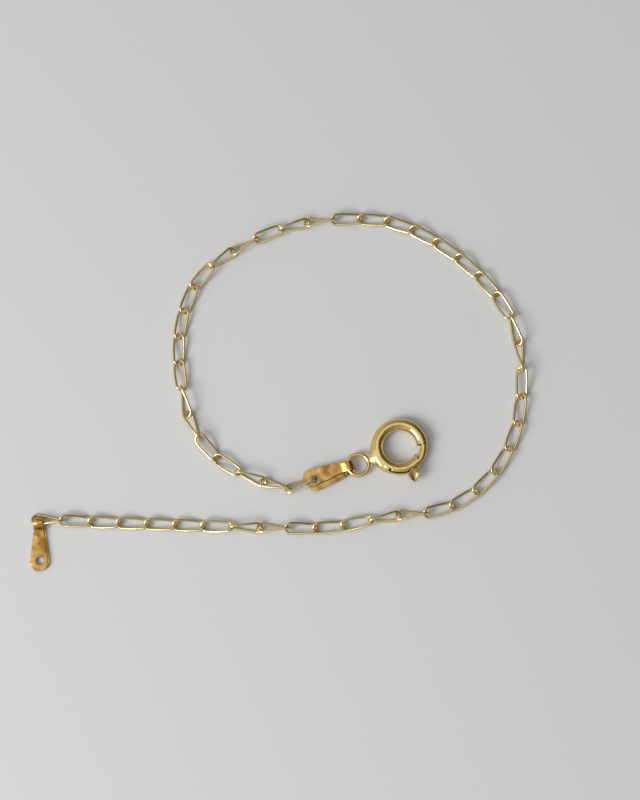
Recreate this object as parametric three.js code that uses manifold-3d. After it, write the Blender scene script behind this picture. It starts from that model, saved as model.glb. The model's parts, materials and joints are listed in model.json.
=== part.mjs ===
// A fine gold curb chain bracelet, open and lying on a flat surface.
// Millimetres, +Z up, the surface it lies on is z = 0, origin under the middle of the whole piece.
// The chain runs from the tag at the bolt ring, once round the wrist's space, to the catch tag.

import * as THREE from 'three';
import { mergeVertices } from 'three/addons/utils/BufferGeometryUtils.js';
import Module from 'manifold-3d';

const wasm = await Module();
wasm.setup();

const rad = THREE.MathUtils.degToRad;

// Chain: long curb links of round wire, each twisted so that the next one sits across it.
const LINK_COUNT = 48;
const WIRE_RADIUS = 0.165;
const LINK_LENGTH = 4.22;
const LINK_WIDTH = 1.6;
const LINK_TWIST = rad(70);
const WIRE_SIDES = 6;
const END_STEPS = 6;
const SIDE_STEPS = 2;

// How each link lies about its own length, in degrees: flat, or tipped where the chain turns over.
const FLAT_ROLL = 5;
const TIPPED_ROLLS = { first: 60, second: 120 };
const TURNED_PAIRS = [2, 6, 13, 16, 26, 35, 40];
const TAG_LINK_ROLL = 60;
const LAST_LINK_ROLL = 50;

// Where the chain lies, from the clasp's tag to its free end.
const ROUTE = [
  { x: 3.77, y: -10.99 },
  { x: 2.0, y: -12.2 },
  { x: -0.4, y: -11.75 },
  { x: -3.4, y: -10.85 },
  { x: -6.5, y: -9.4 },
  { x: -9.3, y: -6.9 },
  { x: -11.1, y: -4.1 },
  { x: -12.2, y: 0.0 },
  { x: -12.7, y: 4.6 },
  { x: -12.4, y: 8.9 },
  { x: -10.3, y: 14.1 },
  { x: -5.2, y: 18.1 },
  { x: 1.2, y: 20.8 },
  { x: 7.8, y: 21.7 },
  { x: 13.0, y: 21.5 },
  { x: 17.8, y: 19.6 },
  { x: 23.4, y: 15.5 },
  { x: 27.6, y: 10.4 },
  { x: 29.1, y: 6.2 },
  { x: 29.5, y: 1.4 },
  { x: 28.6, y: -5.2 },
  { x: 25.2, y: -11.0 },
  { x: 19.9, y: -14.6 },
  { x: 13.1, y: -15.5 },
  { x: 6.2, y: -16.8 },
  { x: -0.7, y: -16.9 },
  { x: -12.7, y: -16.5 },
  { x: -30.05, y: -15.85 },
];

// The chain is drawn up a little at its clasp end: each joint lies this share of the route short of
// an even spacing, at the most a quarter of it in the middle.
const SLACK = 0.028;

// Bolt ring: a bent tube, open between its mouth and its far end, with a curved bolt across the gap.
const CLASP = { x: 14.44, y: -6.94, z: 0.735 };
const RING_RADIUS = 2.76;
const TUBE_RADIUS = 0.735;
const TUBE_BORE = 0.645;
const TUBE_SIDES = 12;
const BEND_STEP = 13;
const MOUTH_ANGLE = 6;
const TUBE_END = { inner: 336, outer: 315, overrun: 0.4, waste: 1.4 };
const BOLT_RADIUS = 0.45;
const BOLT_OFFSET = 0.14;
const BOLT_SIDES = 12;
const BOLT_ARC = { tail: -110, tip: 10 };
const BORE_OVERRUN = 2;
const SLOT = { from: -118, to: -52, width: 0.36, tilt: rad(55), inner: 0.3, outer: 1.1, steps: 14 };

// Thumb lug: a small turned-up leaf on the bolt, reached through the slot.
const LUG_ANGLE = -59.5;
const LUG = {
  length: 1.72,
  width: 1.4,
  baseWidth: 0.62,
  widestAt: 0.48,
  turn: rad(-22),
  floor: 0.14,
  rim: 0.17,
  height: 0.34,
  slope: rad(25),
  out: 0.34,
  up: 0.75,
};
const SHANK = { length: 0.62, width: 0.34, thickness: 0.24, out: 0.61 };

// Eye: the small ring that the tag hangs on, soldered to the tube through a flared neck and a saddle.
const EYE_ANGLE = 203.6;
const EYE_DISTANCE = 5.53;
const EYE_RADIUS = 1.29;
const EYE_WIRE = 0.245;
const EYE_SIDES = 8;
const EYE_STEPS = 22;
const SADDLE = { from: 166, to: 247, offset: 0.2, middle: 0.72, end: 0.5, fullness: 0.6 };
const NECK = {
  tubeWidth: 1.3,
  middleWidth: 0.54,
  eyeWidth: 0.34,
  thickness: 0.5,
  inTube: 0.3,
  inEye: 0.1,
  sides: 12,
};

// Folded tags: one strip with round ends, doubled over through the eye (or the last link) and drilled
// through both leaves. It is folded a little askew, so that the two leaves don't quite cover each other.
const TAG = {
  lobe: 1.08,
  neck: 0.6,
  neckFrom: 5.2,
  thickness: 0.2,
  gap: 0.1,
  wireAt: 5.7,
  foldFrom: 4.7,
  loop: 0.4,
  slack: 0.16,
  tipWidth: 0.3,
  tipSteps: 5,
  foldSteps: 4,
};
const HOLE = { radius: 0.5, at: 1.25, depth: 3, sides: 16 };
const CLASP_TAG = { angle: 19.5, z: 0.75, askew: 0.33, aside: 0.06, short: 0.3 };
const END_TAG = { alongLink: 1.0, angle: 92, askew: 0.1, aside: 0, short: 0.1 };

const gold = (name, color, roughness) =>
  new THREE.MeshStandardMaterial({ name, color, roughness, metalness: 1 });
const chainGold = gold('chain_gold', 0xd9b56a, 0.16);
const claspGold = gold('clasp_gold', 0xd6ae60, 0.2);
const tagGold = gold('tag_gold', 0xd2a758, 0.24);

const bracelet = new THREE.Group();

// Solids in and out of the boolean library, which wants shared corners and positions only.
function solid(geometry) {
  const bare = new THREE.BufferGeometry();
  bare.setAttribute('position', geometry.getAttribute('position').clone());
  if (geometry.index) bare.setIndex(geometry.index.clone());
  const merged = mergeVertices(bare, 1e-4);
  return new wasm.Manifold(new wasm.Mesh({
    numProp: 3,
    vertProperties: new Float32Array(merged.getAttribute('position').array),
    triVerts: new Uint32Array(merged.index.array),
  }));
}

function geometryOf(body) {
  const { vertProperties, triVerts } = body.getMesh();
  const geometry = new THREE.BufferGeometry();
  geometry.setAttribute('position', new THREE.BufferAttribute(vertProperties, 3));
  geometry.setIndex(new THREE.BufferAttribute(triVerts, 1));
  geometry.computeVertexNormals();
  return geometry;
}

// Moves every corner of a geometry by a function of its position.
function reshape(geometry, move) {
  const position = geometry.getAttribute('position');
  const point = new THREE.Vector3();
  for (let i = 0; i < position.count; i += 1) {
    point.fromBufferAttribute(position, i);
    move(point);
    position.setXYZ(i, point.x, point.y, point.z);
  }
  position.needsUpdate = true;
  geometry.computeVertexNormals();
  return geometry;
}

function addPiece(name, geometry, material, parent = bracelet) {
  const mesh = new THREE.Mesh(geometry, material);
  mesh.name = name;
  parent.add(mesh);
  return mesh;
}

// A point on the link's centre line, a stadium, with its outward direction; step runs round it once.
const LINK_STEPS = 2 * (END_STEPS + SIDE_STEPS);
const HALF_LENGTH = LINK_LENGTH / 2 - WIRE_RADIUS;
const HALF_WIDTH = LINK_WIDTH / 2 - WIRE_RADIUS;
const HALF_SIDE = HALF_LENGTH - HALF_WIDTH;

function stadium(step) {
  const half = END_STEPS + SIDE_STEPS;
  const turn = step >= half ? Math.PI : 0;
  const local = step % half;
  const onEnd = Math.min(local, END_STEPS);
  const along = local > END_STEPS ? ((local - END_STEPS) / SIDE_STEPS) * 2 * HALF_SIDE : 0;
  const angle = -Math.PI / 2 + (onEnd / END_STEPS) * Math.PI;
  const outward = new THREE.Vector2(Math.cos(angle), Math.sin(angle));
  const centre = outward.clone().multiplyScalar(HALF_WIDTH);
  centre.x += HALF_SIDE - along;
  const origin = new THREE.Vector2(0, 0);
  return { centre: centre.rotateAround(origin, turn), outward: outward.rotateAround(origin, turn) };
}

// One link: a ring of wire pulled out to a stadium, then twisted about its length.
const LENGTHWISE = new THREE.Vector3(1, 0, 0);
const twistAt = (x) => (-LINK_TWIST * x) / (2 * HALF_LENGTH);

function linkGeometry() {
  const ring = new THREE.TorusGeometry(1, WIRE_RADIUS, WIRE_SIDES, LINK_STEPS);
  return reshape(ring, (point) => {
    const around = (Math.atan2(point.y, point.x) / (2 * Math.PI) + 1) % 1;
    const { centre, outward } = stadium(Math.round(around * LINK_STEPS) % LINK_STEPS);
    const offset = Math.hypot(point.x, point.y) - 1;
    const x = centre.x + outward.x * offset;
    const y = centre.y + outward.y * offset;
    point.set(x, y, point.z).applyAxisAngle(LENGTHWISE, twistAt(x));
  });
}

// Roll of every link in degrees; the chain turns over by half a turn in each turned pair.
function linkRolls() {
  const rolls = [];
  let turned = 0;
  for (let number = 1; number <= LINK_COUNT; number += 1) {
    let roll = FLAT_ROLL;
    if (TURNED_PAIRS.includes(number)) roll = TIPPED_ROLLS.first;
    if (TURNED_PAIRS.includes(number - 1)) roll = TIPPED_ROLLS.second;
    if (number === 1) roll = TAG_LINK_ROLL;
    if (number === LINK_COUNT) roll = LAST_LINK_ROLL;
    rolls.push(rad(roll + turned));
    if (TURNED_PAIRS.includes(number - 1)) turned += 180;
  }
  return rolls;
}

// Height at which a link's end clears the surface, from the tilt of its wire at the shoulder.
function endHeight(roll, end) {
  return HALF_WIDTH * Math.abs(Math.sin(roll + twistAt(end * HALF_SIDE))) + WIRE_RADIUS;
}

function addChain() {
  const route = new THREE.CatmullRomCurve3(
    ROUTE.map(({ x, y }) => new THREE.Vector3(x, y, 0)), false, 'centripetal');
  route.arcLengthDivisions = 2000;
  const rolls = linkRolls();
  const joints = Array.from({ length: LINK_COUNT + 1 }, (_, i) => {
    const share = i / LINK_COUNT;
    const joint = route.getPointAt(share - SLACK * share * (1 - share));
    const before = i > 0 ? endHeight(rolls[i - 1], 1) : 0;
    const after = i < LINK_COUNT ? endHeight(rolls[i], -1) : 0;
    joint.z = Math.max(before, after);
    return joint;
  });
  const shape = linkGeometry();
  const nameOf = (i) => `link_${String(i + 1).padStart(2, '0')}`;
  const links = rolls.map((_, i) => addPiece(nameOf(i), shape, chainGold));
  const layLinks = () => links.forEach((link, i) => {
    const along = joints[i + 1].clone().sub(joints[i]).normalize();
    const across = new THREE.Vector3(0, 0, 1).cross(along).normalize();
    const up = along.clone().cross(across);
    link.quaternion.setFromRotationMatrix(new THREE.Matrix4().makeBasis(along, across, up));
    link.rotateX(rolls[i]);
    link.position.copy(joints[i]).lerp(joints[i + 1], 0.5);
  });
  layLinks();
  links.forEach((link, i) => {
    const sunk = Math.min(0, new THREE.Box3().setFromObject(link, true).min.z);
    joints[i].z -= sunk;
    joints[i + 1].z -= sunk;
  });
  layLinks();
  return links;
}

// A rod bent round the ring's centre, from one angle to another; its radius may change along it.
function bentRod(from, to, ringRadius, sides, radiusAt) {
  const steps = Math.ceil((to - from) / BEND_STEP);
  const rod = new THREE.CylinderGeometry(1, 1, 1, sides, steps);
  return reshape(rod, (point) => {
    const share = point.y + 0.5;
    const angle = rad(from + share * (to - from));
    const radius = ringRadius + point.x * radiusAt(share);
    point.set(radius * Math.cos(angle), radius * Math.sin(angle), point.z * radiusAt(share));
  });
}

const steady = (radius) => () => radius;
const onRing = (distance, angle) =>
  new THREE.Vector2(distance, 0).rotateAround(new THREE.Vector2(), rad(angle));

// The slot's cutter: a square bar bent round the ring, tilted to the slot's side of the tube.
function slotCutter() {
  const section = new THREE.Shape();
  const half = SLOT.width / 2;
  const { inner, outer } = SLOT;
  const corners = [[inner, -half], [outer, -half], [outer, half], [inner, half]];
  corners.forEach(([out, side], i) => {
    const radial = out * Math.cos(SLOT.tilt) - side * Math.sin(SLOT.tilt);
    const height = out * Math.sin(SLOT.tilt) + side * Math.cos(SLOT.tilt);
    if (i === 0) section.moveTo(-height, -radial);
    else section.lineTo(-height, -radial);
  });
  section.closePath();
  const arc = new THREE.CatmullRomCurve3(
    Array.from({ length: SLOT.steps + 1 }, (_, i) => {
      const angle = rad(SLOT.from + ((SLOT.to - SLOT.from) * i) / SLOT.steps);
      return new THREE.Vector3(RING_RADIUS * Math.cos(angle), RING_RADIUS * Math.sin(angle), 0);
    }));
  const swept = { steps: SLOT.steps, extrudePath: arc, bevelEnabled: false };
  return new THREE.ExtrudeGeometry(section, swept);
}

// Cuts the tube's far end on the slant, so that its inner side reaches further than its outer.
function slantCutter() {
  const inner = onRing(RING_RADIUS - TUBE_RADIUS, TUBE_END.inner);
  const outer = onRing(RING_RADIUS + TUBE_RADIUS, TUBE_END.outer);
  const along = outer.clone().sub(inner).normalize();
  const start = inner.clone().addScaledVector(along, -TUBE_END.overrun);
  const length = outer.distanceTo(inner) + 2 * TUBE_END.overrun;
  const height = 2 * (TUBE_RADIUS + TUBE_END.overrun);
  const box = new THREE.BoxGeometry(length, TUBE_END.waste, height);
  box.translate(length / 2, TUBE_END.waste / 2, 0);
  box.rotateZ(Math.atan2(along.y, along.x));
  box.translate(start.x, start.y, 0);
  return box;
}

// The eye ring and its neck, which flares towards the tube; both lie in the ring's plane.
function eyeParts() {
  const eye = new THREE.TorusGeometry(EYE_RADIUS, EYE_WIRE, EYE_SIDES, EYE_STEPS);
  const eyeCentre = onRing(EYE_DISTANCE, EYE_ANGLE);
  eye.translate(eyeCentre.x, eyeCentre.y, 0);
  const start = RING_RADIUS + TUBE_RADIUS - NECK.inTube;
  const end = EYE_DISTANCE - EYE_RADIUS + NECK.inEye;
  const profile = [
    new THREE.Vector2(0, start),
    new THREE.Vector2(NECK.tubeWidth, start),
    new THREE.Vector2(NECK.middleWidth, (start + end) / 2),
    new THREE.Vector2(NECK.eyeWidth, end),
    new THREE.Vector2(0, end),
  ];
  const neck = new THREE.LatheGeometry(profile, NECK.sides);
  neck.scale(1, 1, NECK.thickness);
  neck.rotateZ(-Math.PI / 2 + rad(EYE_ANGLE));
  return { eye, neck };
}

// The saddle is fullest in its middle and thins towards both ends.
function saddleRadius(share) {
  return SADDLE.end + (SADDLE.middle - SADDLE.end) * Math.sin(Math.PI * share) ** SADDLE.fullness;
}

// Tube, saddle, neck and eye are soldered together, so they are one solid.
function claspBodyGeometry() {
  const tube = solid(bentRod(MOUTH_ANGLE, TUBE_END.inner, RING_RADIUS, TUBE_SIDES, steady(TUBE_RADIUS)));
  const saddleRing = RING_RADIUS + SADDLE.offset;
  const saddle = solid(bentRod(SADDLE.from, SADDLE.to, saddleRing, TUBE_SIDES, saddleRadius));
  const boreFrom = MOUTH_ANGLE - BORE_OVERRUN;
  const boreTo = TUBE_END.inner + BORE_OVERRUN;
  const bore = solid(bentRod(boreFrom, boreTo, RING_RADIUS, TUBE_SIDES, steady(TUBE_BORE)));
  const { eye, neck } = eyeParts();
  const body = tube.add(saddle).add(solid(neck)).subtract(bore).add(solid(eye));
  return geometryOf(body.subtract(solid(slotCutter())).subtract(solid(slantCutter())));
}

// The lug's plan: a leaf, narrow at its base and rounded to a point, drawn outwards along x.
function lugOutline(inset) {
  const base = LUG.baseWidth / 2 - inset;
  const half = LUG.width / 2 - inset;
  const from = inset;
  const end = LUG.length - inset;
  const widest = LUG.length * LUG.widestAt;
  const outline = new THREE.Shape();
  outline.moveTo(from, -base);
  outline.bezierCurveTo((from + widest) / 2, -base, (from + widest) / 2, -half, widest, -half);
  outline.bezierCurveTo((widest + end) / 2, -half, end, -half / 2, end, 0);
  outline.bezierCurveTo(end, half / 2, (widest + end) / 2, half, widest, half);
  outline.bezierCurveTo((from + widest) / 2, half, (from + widest) / 2, base, from, base);
  outline.closePath();
  return outline;
}

// The bolt: a curved rod, the shank that comes up through the slot, and the hollowed lug on it.
function claspBoltGeometry() {
  const ring = RING_RADIUS + BOLT_OFFSET;
  const rod = solid(bentRod(BOLT_ARC.tail, BOLT_ARC.tip, ring, BOLT_SIDES, steady(BOLT_RADIUS)));
  const raised = { depth: LUG.height, bevelEnabled: false, curveSegments: 4 };
  const plate = new THREE.ExtrudeGeometry(lugOutline(0), raised);
  const pocket = new THREE.ExtrudeGeometry(lugOutline(LUG.rim), raised);
  pocket.translate(0, 0, LUG.floor);
  const lug = solid(plate).subtract(solid(pocket));
  const tab = geometryOf(lug);
  tab.rotateY(LUG.slope);
  tab.rotateZ(LUG.turn);
  tab.translate(RING_RADIUS + LUG.out, 0, LUG.up);
  tab.rotateZ(rad(LUG_ANGLE));
  const shank = new THREE.BoxGeometry(SHANK.length, SHANK.width, SHANK.thickness);
  shank.translate(SHANK.out, 0, 0);
  shank.rotateY(-SLOT.tilt);
  shank.translate(RING_RADIUS, 0, 0);
  shank.rotateZ(rad(LUG_ANGLE));
  return geometryOf(rod.add(solid(shank)).add(solid(tab)));
}

function addClasp() {
  const clasp = new THREE.Group();
  clasp.position.set(CLASP.x, CLASP.y, CLASP.z);
  bracelet.add(clasp);
  addPiece('clasp_body', claspBodyGeometry(), claspGold, clasp);
  addPiece('clasp_bolt', claspBoltGeometry(), claspGold, clasp);
}

// The strip's middle line in side view: along the lower leaf, round the wire, back along the upper.
function tagLine(rise, short) {
  const level = (TAG.gap + TAG.thickness) / 2;
  const turn = TAG.loop + TAG.thickness / 2;
  const centre = TAG.wireAt + TAG.slack;
  const from = TAG.foldFrom;
  const bend = (centre - from) / 2;
  const fold = new THREE.Path();
  fold.moveTo(from, -level);
  fold.bezierCurveTo(from + bend, -level, centre - bend, rise - turn, centre, rise - turn);
  fold.absarc(centre, rise, turn, -Math.PI / 2, Math.PI / 2, false);
  fold.bezierCurveTo(centre - bend, rise + turn, from + bend, level, from, level);
  const tips = Array.from({ length: TAG.tipSteps + 1 }, (_, i) =>
    TAG.lobe * (1 - Math.cos((Math.PI / 2) * (i / TAG.tipSteps))));
  const lower = tips.map((x) => new THREE.Vector2(short + x, -level));
  const upper = tips.map((x) => new THREE.Vector2(x, level)).reverse();
  return [...lower, ...fold.getPoints(TAG.foldSteps), ...upper];
}

// Half the strip's width: a round end, then a straight taper to the neck that goes round the wire.
function tagHalfWidth(fromTip) {
  if (fromTip < TAG.lobe) {
    return Math.max(TAG.tipWidth / 2, Math.sqrt(TAG.lobe ** 2 - (TAG.lobe - fromTip) ** 2));
  }
  const taper = Math.min(1, (fromTip - TAG.lobe) / (TAG.neckFrom - TAG.lobe));
  return TAG.lobe + (TAG.neck - TAG.lobe) * taper;
}

// A whole tag along x: a flat bar bent along the line, shifted sideways as it goes round, and drilled.
function tagGeometry(rise, { askew, aside, short }) {
  const line = tagLine(rise, short);
  const last = line.length - 1;
  const folded = line.length - 2 * (TAG.tipSteps + 1) - 1;
  const bar = new THREE.BoxGeometry(1, 1, 1, last, 1, 1);
  reshape(bar, (point) => {
    const i = Math.round((point.x + 0.5) * last);
    const along = line[Math.min(i + 1, last)].clone().sub(line[Math.max(i - 1, 0)]).normalize();
    const round = Math.min(1, Math.max(0, (i - TAG.tipSteps - 1) / folded));
    const fromTip = line[i].x - short * (1 - Math.round(round));
    const across = 2 * point.y * tagHalfWidth(fromTip) + aside + askew * (2 * round - 1);
    const out = point.z * TAG.thickness;
    point.set(line[i].x - along.y * out, across, line[i].y + along.x * out);
  });
  const drill = new THREE.CylinderGeometry(HOLE.radius, HOLE.radius, HOLE.depth, HOLE.sides);
  drill.rotateX(Math.PI / 2);
  drill.translate(HOLE.at, aside, 0);
  return geometryOf(solid(bar).subtract(solid(drill)));
}

function addTag(name, seat, angle, z, geometry) {
  const tag = addPiece(name, geometry, tagGold);
  tag.rotation.z = angle;
  tag.position.set(seat.x - TAG.wireAt * Math.cos(angle), seat.y - TAG.wireAt * Math.sin(angle), z);
}

// The clasp's tag hangs on the eye's wire, on the side away from the tube.
function addClaspTag() {
  const seat = onRing(EYE_DISTANCE, EYE_ANGLE);
  const angle = rad(CLASP_TAG.angle);
  seat.x += CLASP.x - EYE_RADIUS * Math.cos(angle);
  seat.y += CLASP.y - EYE_RADIUS * Math.sin(angle);
  addTag('clasp_tag', seat, angle, CLASP_TAG.z, tagGeometry(0, CLASP_TAG));
}

// The end tag lies flat, and its neck rises to the raised side of the last link's wire.
function addEndTag(lastLink) {
  lastLink.updateMatrixWorld(true);
  const sides = [-HALF_WIDTH, HALF_WIDTH].map((side) => {
    const wire = new THREE.Vector3(END_TAG.alongLink, side, 0);
    return lastLink.localToWorld(wire.applyAxisAngle(LENGTHWISE, twistAt(END_TAG.alongLink)));
  });
  const seat = sides[0].z > sides[1].z ? sides[0] : sides[1];
  const restHeight = TAG.gap / 2 + TAG.thickness;
  const geometry = tagGeometry(seat.z - restHeight, END_TAG);
  addTag('end_tag', seat, rad(END_TAG.angle), restHeight, geometry);
}

const links = addChain();
addClasp();
addClaspTag();
addEndTag(links[LINK_COUNT - 1]);

const extent = new THREE.Box3().setFromObject(bracelet, true);
const middle = extent.getCenter(new THREE.Vector3());
bracelet.position.set(-middle.x, -middle.y, -extent.min.z);

export default bracelet;
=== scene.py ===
import json
import math
import bmesh
import bpy
import numpy as np
from mathutils import Matrix, Vector


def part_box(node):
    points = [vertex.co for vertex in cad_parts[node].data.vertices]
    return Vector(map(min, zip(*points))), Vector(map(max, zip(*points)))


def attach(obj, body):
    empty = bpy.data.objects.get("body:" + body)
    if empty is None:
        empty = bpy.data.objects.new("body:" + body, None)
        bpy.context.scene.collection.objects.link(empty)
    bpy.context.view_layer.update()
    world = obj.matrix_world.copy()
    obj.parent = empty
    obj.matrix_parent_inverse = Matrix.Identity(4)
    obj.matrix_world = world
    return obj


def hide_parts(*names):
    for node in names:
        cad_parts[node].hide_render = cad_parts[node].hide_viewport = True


# A fine gold curb chain bracelet, open, with a bolt ring at one end and a folded tag at each end.
# Everything is far smaller than a metre, so each piece is drawn in millimetres and its mesh is
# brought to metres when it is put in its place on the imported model.
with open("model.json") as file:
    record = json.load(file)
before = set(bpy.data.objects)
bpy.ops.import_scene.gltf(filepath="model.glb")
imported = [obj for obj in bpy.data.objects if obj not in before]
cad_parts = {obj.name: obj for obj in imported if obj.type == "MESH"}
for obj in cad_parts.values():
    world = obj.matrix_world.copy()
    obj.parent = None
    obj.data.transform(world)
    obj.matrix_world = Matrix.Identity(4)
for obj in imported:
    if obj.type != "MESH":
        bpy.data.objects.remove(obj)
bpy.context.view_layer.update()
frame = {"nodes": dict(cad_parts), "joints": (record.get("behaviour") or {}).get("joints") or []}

# Chain links. The real ones are drawn wire of 14 carat yellow gold, 0.33 mm thick, cut to length,
# bent into a long loop, soldered shut at one end and twisted, so that each lies across the next.
# Corners that lie closer together than touching are one corner.
wire_radius = 0.165
bend_radius = 0.635
half_side = 1.31
side_steps = 6
twist = math.radians(70)
touching = 0.001
to_metres = Matrix.Scale(0.001, 4)


def start_piece():
    """Leaves edit mode with nothing selected, ready for the next primitive."""
    if bpy.context.object and bpy.context.object.mode == "EDIT":
        bpy.ops.object.mode_set(mode="OBJECT")
    bpy.ops.object.select_all(action="DESELECT")


def pick(piece, corners=None, faces=None):
    """Selects the piece's corners, or its faces, by their place, in edit mode."""
    drawn = bmesh.from_edit_mesh(piece.data)
    for part in (*drawn.verts, *drawn.edges, *drawn.faces):
        part.select_set(False)
    if corners:
        for corner in drawn.verts:
            corner.select_set(corners(corner.co))
        drawn.select_flush(True)
    else:
        for face in drawn.faces:
            if faces(face.calc_center_median()):
                face.select_set(True)
    bmesh.update_edit_mesh(piece.data)


def close_up(piece):
    """Merges doubles and turns every face outwards, then leaves edit mode."""
    pick(piece, corners=lambda at: True)
    bpy.ops.mesh.remove_doubles(threshold=touching)
    bpy.ops.mesh.normals_make_consistent(inside=False)
    bpy.ops.object.mode_set(mode="OBJECT")


def finish_with(piece, kind, **settings):
    """Adds one modifier with its settings and applies it."""
    bpy.ops.object.select_all(action="DESELECT")
    piece.select_set(True)
    bpy.context.view_layer.objects.active = piece
    modifier = piece.modifiers.new(kind.title(), kind)
    for name, value in settings.items():
        setattr(modifier, name, value)
    bpy.ops.object.modifier_apply(modifier=modifier.name)


def linear(colour):
    """An sRGB hex colour as the linear numbers that a shader takes."""
    parts = [int(colour[i:i + 2], 16) / 255 for i in (1, 3, 5)]
    return (*[c / 12.92 if c <= 0.04045 else ((c + 0.055) / 1.055) ** 2.4 for c in parts], 1.0)


def add_node(tree, kind, inputs=None, **settings):
    """Adds a shader node, sets it up and links or sets its inputs."""
    node = tree.nodes.new(kind)
    for name, value in settings.items():
        setattr(node, name, value)
    for name, value in (inputs or {}).items():
        if isinstance(value, bpy.types.NodeSocket):
            tree.links.new(value, node.inputs[name])
        else:
            node.inputs[name].default_value = value
    return node


def metal_material(name):
    """A new metal, with the tree that its pattern is drawn in and its Principled node."""
    material = bpy.data.materials.new(name)
    material.use_nodes = True
    shader = material.node_tree.nodes["Principled BSDF"]
    shader.inputs["Metallic"].default_value = 1.0
    return material, material.node_tree, shader


def dress_metal(tree, metal, rough, tint, relief):
    """Gives the metal its roughness, its colour and its relief."""
    tree.links.new(rough.outputs["Result"], metal.inputs["Roughness"])
    tree.links.new(tint.outputs["Result"], metal.inputs["Base Color"])
    tree.links.new(relief.outputs["Normal"], metal.inputs["Normal"])


start_piece()
bpy.ops.mesh.primitive_torus_add(major_radius=bend_radius, minor_radius=wire_radius,
                                 major_segments=40, minor_segments=16)
link = bpy.context.object
bpy.ops.object.mode_set(mode="EDIT")
pick(link, corners=lambda at: at.x < -touching)
bpy.ops.mesh.delete(type="VERT")
pick(link, corners=lambda at: True)
bpy.ops.transform.translate(value=(half_side, 0, 0))
pick(link, corners=lambda at: at.x < half_side + touching)
for step in range(side_steps):
    bpy.ops.mesh.extrude_region_move(
        TRANSFORM_OT_translate={"value": (-half_side / side_steps, 0, 0)})
bpy.ops.object.mode_set(mode="OBJECT")
finish_with(link, "MIRROR", use_axis=(True, False, False),
            merge_threshold=2 * touching)
bpy.ops.object.mode_set(mode="EDIT")
close_up(link)

# The way along the wire, kept on each corner before the twist: the die's draw lines follow it.
way = link.data.attributes.new("along_wire", "FLOAT_VECTOR", "POINT")
for corner in link.data.vertices:
    x, y, z = corner.co
    past = max(0.0, abs(x) - half_side)
    outward = math.hypot(past, y) - bend_radius
    along = abs(x) if past == 0 else half_side + bend_radius * math.atan2(past, abs(y))
    way.data[corner.index].vector = (math.copysign(along, x), outward, z)
# The twist is measured between the middles of the wire at the two ends, and the modifier's
# between the outsides, so it turns a little further.
half_length = half_side + bend_radius
finish_with(link, "SIMPLE_DEFORM", deform_method="TWIST", deform_axis="X",
            angle=-twist * (half_length + wire_radius) / half_length)
bpy.ops.object.shade_smooth()

# Drawn gold wire, barrel polished: bright, with faint lines along it from the die and softer
# patches a millimetre long where it has worn. The lines are 0.06 mm apart. The pattern along the
# wire is scaled in millimetres, and every other pattern in metres.
drawn_gold, tree, metal = metal_material("drawn gold wire, barrel polished")
along_wire = add_node(tree, "ShaderNodeAttribute", attribute_name="along_wire")
stretched = add_node(tree, "ShaderNodeMapping", {"Vector": along_wire.outputs["Vector"],
                                                 "Scale": (0.6, 1.0, 1.0)})
draw_lines = add_node(tree, "ShaderNodeTexNoise", {
    "Vector": stretched.outputs["Vector"], "Scale": 16.0, "Detail": 3.0})
place = add_node(tree, "ShaderNodeTexCoord")
wear = add_node(tree, "ShaderNodeTexNoise", {
    "Vector": place.outputs["Object"], "Scale": 900.0, "Detail": 4.0})
rough = add_node(tree, "ShaderNodeMapRange", {
    "Value": wear.outputs["Fac"], "From Min": 0.3, "From Max": 0.7,
    "To Min": 0.14, "To Max": 0.28})
tint = add_node(tree, "ShaderNodeMix", {
    "Factor": wear.outputs["Fac"], "A": linear("#E6D4A0"), "B": linear("#DAC28C")},
    data_type="RGBA")
relief = add_node(tree, "ShaderNodeBump", {
    "Height": draw_lines.outputs["Fac"], "Strength": 0.25, "Distance": 0.00001})
dress_metal(tree, metal, rough, tint, relief)
link.data.materials.append(drawn_gold)

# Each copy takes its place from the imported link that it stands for: the middle of that link's
# corners, and the ways in which they reach furthest, across and least.
for name in sorted(n for n in frame["nodes"] if n.startswith("link_")):
    corners = np.unique([tuple(v.co) for v in frame["nodes"][name].data.vertices], axis=0)
    middle = corners.mean(axis=0)
    axes = np.linalg.svd(corners - middle)[2]
    axes[2] *= np.linalg.det(axes)
    copy = link.copy()
    copy.data = link.data.copy()
    copy.name = "wire_" + name
    bpy.context.collection.objects.link(copy)
    lay = Matrix.Translation(middle.tolist()) @ Matrix(axes.T.tolist()).to_4x4()
    copy.data.transform(lay @ to_metres)
    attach(copy, "bracelet")
    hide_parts(name)
bpy.data.objects.remove(link)

# Clasp body. The real one is a thin gold tube, bent into a ring and left open between its mouth
# and its slanted end, with a slot sawn along it for the thumb lug. A saddle, a flared neck and a
# small eye are soldered on, and it is polished as one.
ring_radius = 2.76
tube_radius = 0.735
tube_wall = 0.09
mouth_angle, far_inner, far_outer = 6, 336, 315
near_slant = (290, 340)
slot_ends, slot_sides = (243, 309), (40, 70)
saddle_ends, saddle_ring, saddle_thick, saddle_thin = (166, 247), ring_radius + 0.2, 0.72, 0.5
saddle_fullness = 0.6
crease = math.radians(45)
bore_ends = (150, 262)
eye_angle, eye_distance, eye_radius, eye_wire = 203.6, 5.53, 1.29, 0.245
neck_at_tube, neck_at_eye, neck_flat = 1.35, 0.34, 0.52
neck_in_tube, neck_in_eye, neck_flare, neck_steps = 0.3, 0.1, 1.6, 12
# The bolt turns about the clasp's centre, so the frame gives its place.
clasp_centre = Vector(frame["joints"][0]["pos_m"]) * 1000


def on_ring(radius, angle, height=0.0):
    """A place in the clasp, by its distance from the ring's centre and its angle in degrees."""
    return Vector((radius * math.cos(math.radians(angle)),
                   radius * math.sin(math.radians(angle)), height))


def ring_angle(at):
    """The angle of a place round the ring, in degrees from 0 to 360."""
    return math.degrees(math.atan2(at.y, at.x)) % 360


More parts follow.
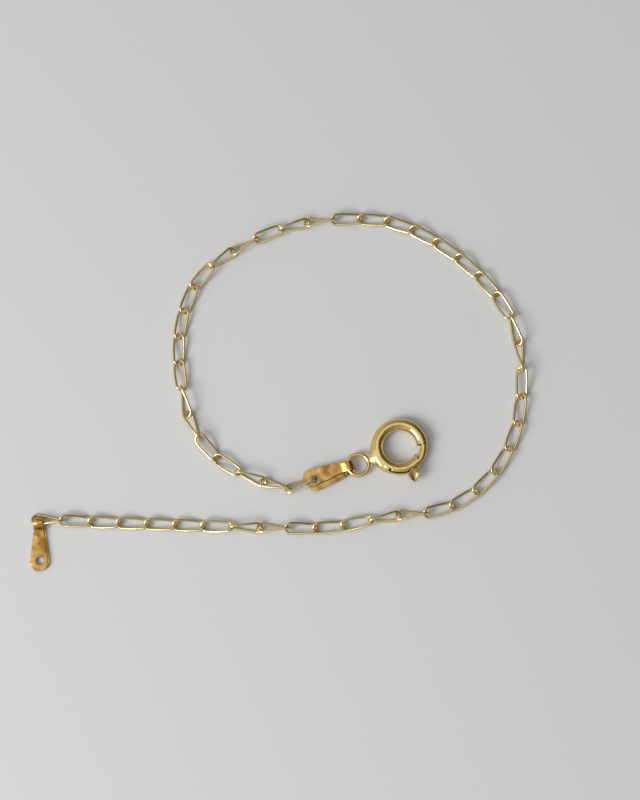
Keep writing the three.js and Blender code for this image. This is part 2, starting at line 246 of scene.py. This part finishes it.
def bend_rod(radius, ring, start, end, sides, steps, closed):
    """A circle swept round the ring's centre from one angle to another, as a tube or a rod."""
    start_piece()
    bpy.ops.mesh.primitive_circle_add(
        vertices=sides, radius=radius, fill_type="NGON" if closed else "NOTHING",
        location=on_ring(ring, start), rotation=(math.pi / 2, 0, math.radians(start)))
    rod = bpy.context.object
    bpy.ops.object.transform_apply(location=True, rotation=True)
    bpy.ops.object.mode_set(mode="EDIT")
    pick(rod, corners=lambda at: True)
    # With no window the spin turns the other way, so its angle is given from end to start.
    bpy.ops.mesh.spin(steps=steps, angle=math.radians(start - end), center=(0, 0, 0),
                      axis=(0, 0, 1))
    if closed:
        pick(rod, corners=lambda at: abs((ring_angle(at) - start + 180) % 360 - 180) < 0.01)
        bpy.ops.mesh.edge_face_add()
    close_up(rod)
    return rod


def round_edges(piece, width, segments, sharp=50):
    """Rounds the edges that are sharper than an angle in degrees."""
    finish_with(piece, "BEVEL", width=width, segments=segments, limit_method="ANGLE",
                angle_limit=math.radians(sharp))


def saw(piece, tool, how="DIFFERENCE"):
    """Cuts one solid with another, or joins them, and clears the tool away."""
    finish_with(piece, "BOOLEAN", object=tool, operation=how, solver="EXACT")
    bpy.data.objects.remove(tool)


tube = bend_rod(tube_radius, ring_radius, mouth_angle, far_inner, 72, 110, False)
tube.name = "clasp_tube"
bpy.ops.object.mode_set(mode="EDIT")
pick(tube, corners=lambda at: near_slant[0] < ring_angle(at) < near_slant[1])
inner_end = on_ring(ring_radius - tube_radius, far_inner)
outer_end = on_ring(ring_radius + tube_radius, far_outer)
slant = (outer_end - inner_end).normalized()
bpy.ops.mesh.bisect(plane_co=inner_end, plane_no=(-slant.y, slant.x, 0), clear_outer=True,
                    threshold=touching / 10)


def in_slot(at):
    """True for the strip of tube wall that the slot is sawn from."""
    round_tube = math.degrees(math.atan2(at.z, math.hypot(at.x, at.y) - ring_radius))
    return (slot_ends[0] < ring_angle(at) < slot_ends[1]
            and slot_sides[0] < round_tube < slot_sides[1])


pick(tube, faces=in_slot)
bpy.ops.mesh.delete(type="FACE")
close_up(tube)
finish_with(tube, "SOLIDIFY", thickness=tube_wall, offset=-1)

# The saddle lies along the back of the tube and swells from its ends to its middle.
saddle = bend_rod(1, saddle_ring, *saddle_ends, 48, 30, True)
for corner in saddle.data.vertices:
    share = (ring_angle(corner.co) - saddle_ends[0]) / (saddle_ends[1] - saddle_ends[0])
    middle = on_ring(saddle_ring, ring_angle(corner.co))
    full = max(0.0, math.sin(math.pi * share)) ** saddle_fullness
    corner.co = middle + (corner.co - middle) * (saddle_thin + (saddle_thick - saddle_thin) * full)
start_piece()
bpy.ops.mesh.primitive_torus_add(
    major_radius=eye_radius, minor_radius=eye_wire, major_segments=72, minor_segments=24,
    location=on_ring(eye_distance, eye_angle))
eye = bpy.context.object
bpy.ops.object.transform_apply(location=True)

# The neck is drawn out from the tube towards the eye, thinner at each step.
neck_from = ring_radius + tube_radius - neck_in_tube
neck_length = eye_distance - eye_radius + neck_in_eye - neck_from
start_piece()
bpy.ops.mesh.primitive_circle_add(vertices=48, radius=neck_at_tube, fill_type="NGON",
                                  location=(neck_from, 0, 0), rotation=(0, math.pi / 2, 0))
neck = bpy.context.object
bpy.ops.object.transform_apply(location=True, rotation=True)
bpy.ops.object.mode_set(mode="EDIT")
pick(neck, corners=lambda at: True)
width = neck_at_tube
for step in range(1, neck_steps + 1):
    share = step / neck_steps
    thinner = neck_at_eye + (neck_at_tube - neck_at_eye) * (1 - share) ** neck_flare
    bpy.ops.mesh.extrude_region_move(
        TRANSFORM_OT_translate={"value": (neck_length / neck_steps, 0, 0)})
    bpy.ops.transform.resize(value=(1, thinner / width, thinner / width),
                             center_override=(neck_from + neck_length * share, 0, 0))
    width = thinner
close_up(neck)
neck.data.transform(Matrix.Rotation(math.radians(eye_angle), 4, "Z")
                    @ Matrix.Diagonal((1, 1, neck_flat, 1)))
# What is soldered on stops at the tube's wall, so that the inside stays clear for the bolt.
bore = bend_rod(tube_radius - tube_wall, ring_radius, *bore_ends, 48, 34, True)
saw(saddle, neck, "UNION")
saw(saddle, bore)
saw(saddle, eye, "UNION")
saw(tube, saddle, "UNION")
bpy.ops.object.mode_set(mode="EDIT")
close_up(tube)
round_edges(tube, 0.025, 2)
bpy.ops.object.mode_set(mode="EDIT")
close_up(tube)
bpy.ops.object.shade_smooth_by_angle(angle=crease)

# Bolt. The real one is a curved gold rod on a fine spring inside the tube. Its thumb lug, a small
# hollowed leaf of gold, is soldered to it through the slot, and it slides back as the ring opens.
bolt_radius, bolt_ring, bolt_ends = 0.45, ring_radius + 0.14, (-110, 10)
lug_angle, lug_turn, lug_slope = -59.5, -22, 25
lug_length, lug_half, lug_base, lug_widest = 1.72, 0.7, 0.31, 0.74
lug_height, lug_floor, lug_rim = 0.34, 0.06, 0.12
lug_out, lug_up, lug_steps = 0.34, 0.75, 12
shank_middle, shank_size, shank_slope = 0.61, (0.62, 0.34, 0.24), -55

bolt = bend_rod(bolt_radius, bolt_ring, *bolt_ends, 40, 60, True)
bolt.name = "clasp_bolt_rod"
round_edges(bolt, 0.12, 3, sharp=60)


def curve_at(share, *ends):
    """A point on the curve that leaves its first end towards the second and comes in by the third."""
    left = 1 - share
    weights = (left ** 3, 3 * left ** 2 * share, 3 * left * share ** 2, share ** 3)
    return sum((Vector(end) * weight for end, weight in zip(ends, weights)), Vector((0, 0)))


# Half of the leaf's outline: it swells from its base to its widest, and then draws in to a point.
flank = [curve_at(i / lug_steps, (0, lug_base), (lug_widest / 2, lug_base),
                  (lug_widest / 2, lug_half), (lug_widest, lug_half)) for i in range(lug_steps)]
point = [curve_at(i / lug_steps, (lug_widest, lug_half),
                  ((lug_widest + lug_length) / 2, lug_half),
                  (lug_length - 0.1, lug_half / 3), (lug_length, 0)) for i in range(lug_steps + 1)]
half_leaf = flank + point
leaf = [(x, y) for x, y in half_leaf] + [(x, -y) for x, y in reversed(half_leaf[:-1])]
start_piece()
bpy.ops.mesh.primitive_circle_add(vertices=len(leaf), radius=1, fill_type="NGON")
lug = bpy.context.object
for corner, (x, y) in zip(lug.data.vertices, reversed(leaf)):
    corner.co = (x, y, 0)
bpy.ops.object.mode_set(mode="EDIT")
pick(lug, corners=lambda at: True)
bpy.ops.mesh.extrude_region_move(TRANSFORM_OT_translate={"value": (0, 0, lug_height)})
pick(lug, faces=lambda at: at.z > lug_height - 0.01)
bpy.ops.mesh.inset(thickness=lug_rim)
# The hollow is a bowl in three steps, each with its share of the depth and how far it draws in.
for depth_share, smaller in ((0.55, 0.82), (0.3, 0.72), (0.15, 0.5)):
    bpy.ops.mesh.extrude_region_move(
        TRANSFORM_OT_translate={"value": (0, 0, depth_share * (lug_floor - lug_height))})
    bpy.ops.transform.resize(value=(smaller, smaller, 1), center_override=(lug_widest, 0, 0))
close_up(lug)
round_edges(lug, 0.05, 3)
on_bolt = Matrix.Rotation(math.radians(lug_angle), 4, "Z")
lug.data.transform(on_bolt @ Matrix.Translation((ring_radius + lug_out, 0, lug_up))
                   @ Matrix.Rotation(math.radians(lug_turn), 4, "Z")
                   @ Matrix.Rotation(math.radians(lug_slope), 4, "Y"))
start_piece()
bpy.ops.mesh.primitive_cube_add(size=1, location=(shank_middle, 0, 0), scale=shank_size)
shank = bpy.context.object
bpy.ops.object.transform_apply(location=True, scale=True)
round_edges(shank, 0.03, 2)
shank.data.transform(on_bolt @ Matrix.Translation((ring_radius, 0, 0))
                     @ Matrix.Rotation(math.radians(shank_slope), 4, "Y"))
saw(lug, shank, "UNION")
saw(bolt, lug, "UNION")
bpy.ops.object.shade_smooth_by_angle(angle=crease)

# Polished gold tube and rod: hand polished, so the surface has soft waves a millimetre across and
# fine rubbing marks that break up the reflections a little.
polished_gold, tree, metal = metal_material("gold tube, hand polished")
place = add_node(tree, "ShaderNodeTexCoord")
waves = add_node(tree, "ShaderNodeTexNoise", {
    "Vector": place.outputs["Object"], "Scale": 900.0, "Detail": 2.0})
rubbing = add_node(tree, "ShaderNodeTexNoise", {
    "Vector": place.outputs["Object"], "Scale": 6000.0, "Detail": 4.0})
rough = add_node(tree, "ShaderNodeMapRange", {
    "Value": rubbing.outputs["Fac"], "From Min": 0.3, "From Max": 0.7,
    "To Min": 0.1, "To Max": 0.22})
tint = add_node(tree, "ShaderNodeMix", {
    "Factor": waves.outputs["Fac"], "A": linear("#E8CD8C"), "B": linear("#DCBC78")},
    data_type="RGBA")
relief = add_node(tree, "ShaderNodeBump", {
    "Height": waves.outputs["Fac"], "Strength": 0.5, "Distance": 0.00012})
dress_metal(tree, metal, rough, tint, relief)

for piece, node, body in ((tube, "clasp_body", "bracelet"), (bolt, "clasp_bolt", "bolt")):
    piece.data.transform(to_metres @ Matrix.Translation(clasp_centre))
    piece.data.materials.clear()
    piece.data.materials.append(polished_gold)
    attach(piece, body)
    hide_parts(node)

# Tags. Each is one strip of rolled gold sheet, 0.2 mm thick, with round ends, doubled over through
# the eye or the last link, a little askew, and drilled through both leaves near its end.
sheet = 0.2
lobe_radius, blunt_half = 1.08, 0.2
neck_half, neck_starts = 0.6, 5.2
leaf_level = 0.15
wire_at, fold_from, fold_centre, fold_radius = 5.7, 4.7, 5.86, 0.5
hole_radius, hole_at = 0.5, 1.25
tip_steps, leaf_steps, ramp_steps, turn_steps, columns = 16, 10, 12, 24, 8
clasp_tag_angle, clasp_tag_height = 19.5, 0.75
end_tag_angle = 92


def tag_strip(name, rise, askew, aside, short):
    """A folded tag along x: the lower leaf, the neck round the wire, and the upper leaf.

    The wire lies rise above the leaves' middle, the upper leaf lies askew to one side and the lower
    one to the other, both lie aside from the x axis, and the lower leaf is short of the upper one.
    """
    bend = (fold_centre - fold_from) / 2
    tip = [0] + [lobe_radius * (1 - math.cos(math.pi / 2 * i / tip_steps))
                 for i in range(3, tip_steps + 1)]
    leaf = tip + [lobe_radius + (fold_from - lobe_radius) * i / leaf_steps
                  for i in range(1, leaf_steps)]

    def ramp(level, turned, i):
        return curve_at(i / ramp_steps, (fold_from, level), (fold_from + bend, level),
                        (fold_centre - bend, turned), (fold_centre, turned))

    lower = [(short + x * (fold_from - short) / fold_from, -leaf_level) for x in leaf]
    loop = [ramp(-leaf_level, rise - fold_radius, i) for i in range(ramp_steps)]
    for i in range(turn_steps + 1):
        turn = math.pi * (i / turn_steps - 0.5)
        loop.append((fold_centre + fold_radius * math.cos(turn),
                     rise + fold_radius * math.sin(turn)))
    loop += [ramp(leaf_level, rise + fold_radius, ramp_steps - i) for i in range(1, ramp_steps + 1)]
    path = lower + loop + [(x, leaf_level) for x in reversed(leaf)]

    def half_width(from_tip):
        if from_tip < lobe_radius:
            return max(blunt_half, math.sqrt(lobe_radius ** 2 - (lobe_radius - from_tip) ** 2))
        taper = min(1, (from_tip - lobe_radius) / (neck_starts - lobe_radius))
        return lobe_radius + (neck_half - lobe_radius) * taper

    start_piece()
    bpy.ops.mesh.primitive_grid_add(x_subdivisions=len(path) - 1, y_subdivisions=columns,
                                    size=2)
    strip = bpy.context.object
    strip.name = name
    for corner in strip.data.vertices:
        i = round((corner.co.x + 1) / 2 * (len(path) - 1))
        x, z = path[i]
        done = min(1, max(0, (i - len(lower)) / (len(loop) - 1)))
        across = corner.co.y * half_width(x - (short if done < 0.5 else 0))
        corner.co = (x, across + aside + askew * (2 * done - 1), z)
    finish_with(strip, "SOLIDIFY", thickness=sheet, offset=0, use_even_offset=True)
    round_edges(strip, 0.045, 3)
    start_piece()
    bpy.ops.mesh.primitive_cylinder_add(vertices=48, radius=hole_radius, depth=3,
                                        location=(hole_at, aside, 0))
    drill = bpy.context.object
    bpy.ops.object.transform_apply(location=True)
    saw(strip, drill)
    bpy.ops.object.shade_smooth_by_angle(angle=crease)
    return strip


# Rolled gold sheet, polished and then worn by handling: darker and softer than the tube, with
# shallow dents one or two millimetres across that bend the reflections. The colour is also painted
# darker brown in patches that follow the same dents: a painted reflection of the mottled room
# that the dents would show.
rolled_gold, tree, metal = metal_material("rolled gold sheet, worn polish")
place = add_node(tree, "ShaderNodeTexCoord")
dents_and_painted_reflection = add_node(tree, "ShaderNodeTexNoise", {
    "Vector": place.outputs["Object"], "Scale": 700.0, "Detail": 1.0})
scuffs = add_node(tree, "ShaderNodeTexNoise", {
    "Vector": place.outputs["Object"], "Scale": 5000.0, "Detail": 5.0})
rough = add_node(tree, "ShaderNodeMapRange", {
    "Value": scuffs.outputs["Fac"], "From Min": 0.3, "From Max": 0.7,
    "To Min": 0.2, "To Max": 0.36})
# Painted reflection: the dents' pattern mixes in a darker brown, standing in for the mottled
# reflections of a dented sheet.
painted_reflection_mask = add_node(tree, "ShaderNodeMapRange", {
    "Value": dents_and_painted_reflection.outputs["Fac"], "From Min": 0.35, "From Max": 0.65})
tint = add_node(tree, "ShaderNodeMix", {
    "Factor": painted_reflection_mask.outputs["Result"], "A": linear("#D8B470"), "B": linear("#A67C40")},
    data_type="RGBA")
relief = add_node(tree, "ShaderNodeBump", {
    "Height": dents_and_painted_reflection.outputs["Fac"], "Strength": 0.7, "Distance": 0.0004})
dress_metal(tree, metal, rough, tint, relief)

clasp_tag = tag_strip("clasp_tag_strip", 0.0, askew=0.33, aside=0.06, short=0.3)
tag_tip = (clasp_centre + on_ring(eye_distance, eye_angle)
           - on_ring(eye_radius + wire_at, clasp_tag_angle))
clasp_tag.data.transform(
    to_metres @ Matrix.Translation((tag_tip.x, tag_tip.y, clasp_tag_height))
    @ Matrix.Rotation(math.radians(clasp_tag_angle), 4, "Z"))

# The end tag lies flat on its lower leaf, and its fold reaches up to the wire of the last link.
end_low, end_high = (Vector(corner) * 1000 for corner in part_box("end_tag"))
rest_height = leaf_level + sheet / 2
end_rise = end_high.z - rest_height - fold_radius - sheet / 2
end_tag = tag_strip("end_tag_strip", end_rise, askew=0.1, aside=0.0, short=0.1)
end_tag.data.transform(Matrix.Rotation(math.radians(end_tag_angle), 4, "Z"))
drawn_low = [min(v.co[i] for v in end_tag.data.vertices) for i in (0, 1)]
end_tag.data.transform(to_metres @ Matrix.Translation(
    (end_low.x - drawn_low[0], end_low.y - drawn_low[1], rest_height)))
for piece, node in ((clasp_tag, "clasp_tag"), (end_tag, "end_tag")):
    piece.data.materials.clear()
    piece.data.materials.append(rolled_gold)
    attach(piece, "bracelet")
    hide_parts(node)

# The surface that the bracelet lies on, and its light: a window low at the left front, a wide soft
# panel overhead, and a room that is dimmer towards the right and the back. Each light has a name, a
# size in metres, a power in watts and a place, from the point that the camera looks at.
look_at = Vector((0.004789, -0.001194, 0))
lights = (("window", (0.26, 0.24), 1.85, (-0.335, -0.21, 0.31)),
          ("panel", (0.42, 0.36), 0.26, (-0.05, 0.04, 0.5)))
room_level, room_least, brighter_towards = 0.46, 0.1, (-0.4, -0.14, -0.1)

start_piece()
bpy.ops.mesh.primitive_plane_add(size=1.2, location=(0, 0, 0))
floor = bpy.context.object
floor.name = "pale_surface"
plaster = bpy.data.materials.new("pale plaster, matt")
plaster.use_nodes = True
plaster.node_tree.nodes["Principled BSDF"].inputs["Base Color"].default_value = linear("#D3D3D3")
plaster.node_tree.nodes["Principled BSDF"].inputs["Roughness"].default_value = 0.8
floor.data.materials.append(plaster)

for name, size, power, at in lights:
    lamp = bpy.data.lights.new(name, "AREA")
    lamp.shape = "RECTANGLE"
    lamp.size, lamp.size_y = size
    lamp.energy = power
    light = bpy.data.objects.new(name, lamp)
    light.location = look_at + Vector(at)
    light.rotation_euler = (-Vector(at)).to_track_quat("-Z", "Y").to_euler()
    bpy.context.collection.objects.link(light)
world = bpy.data.worlds.new("room")
world.use_nodes = True
tree = world.node_tree
facing = add_node(tree, "ShaderNodeTexCoord")
slope = add_node(tree, "ShaderNodeVectorMath", {
    0: facing.outputs["Generated"], 1: brighter_towards}, operation="DOT_PRODUCT")
level = add_node(tree, "ShaderNodeMath", {
    0: slope.outputs["Value"], 1: room_level}, operation="ADD")
room = add_node(tree, "ShaderNodeMath", {
    0: level.outputs["Value"], 1: room_least}, operation="MAXIMUM")
tree.links.new(room.outputs["Value"], tree.nodes["Background"].inputs["Strength"])
tree.nodes["Background"].inputs["Color"].default_value = (1, 1, 1, 1)
bpy.context.scene.world = world
bpy.context.scene.view_settings.view_transform = "Standard"

# The camera looks down from a little in front, 0.27 m away, through a long lens.
camera = bpy.data.objects.new("camera", bpy.data.cameras.new("camera"))
camera.data.lens = 100
camera.data.sensor_width = 36
camera.location = look_at + Vector((0, -0.047389, 0.268754))
camera.rotation_euler = (look_at - camera.location).to_track_quat("-Z", "Y").to_euler()
camera.data.clip_start = 0.01
bpy.context.collection.objects.link(camera)
bpy.context.scene.camera = camera
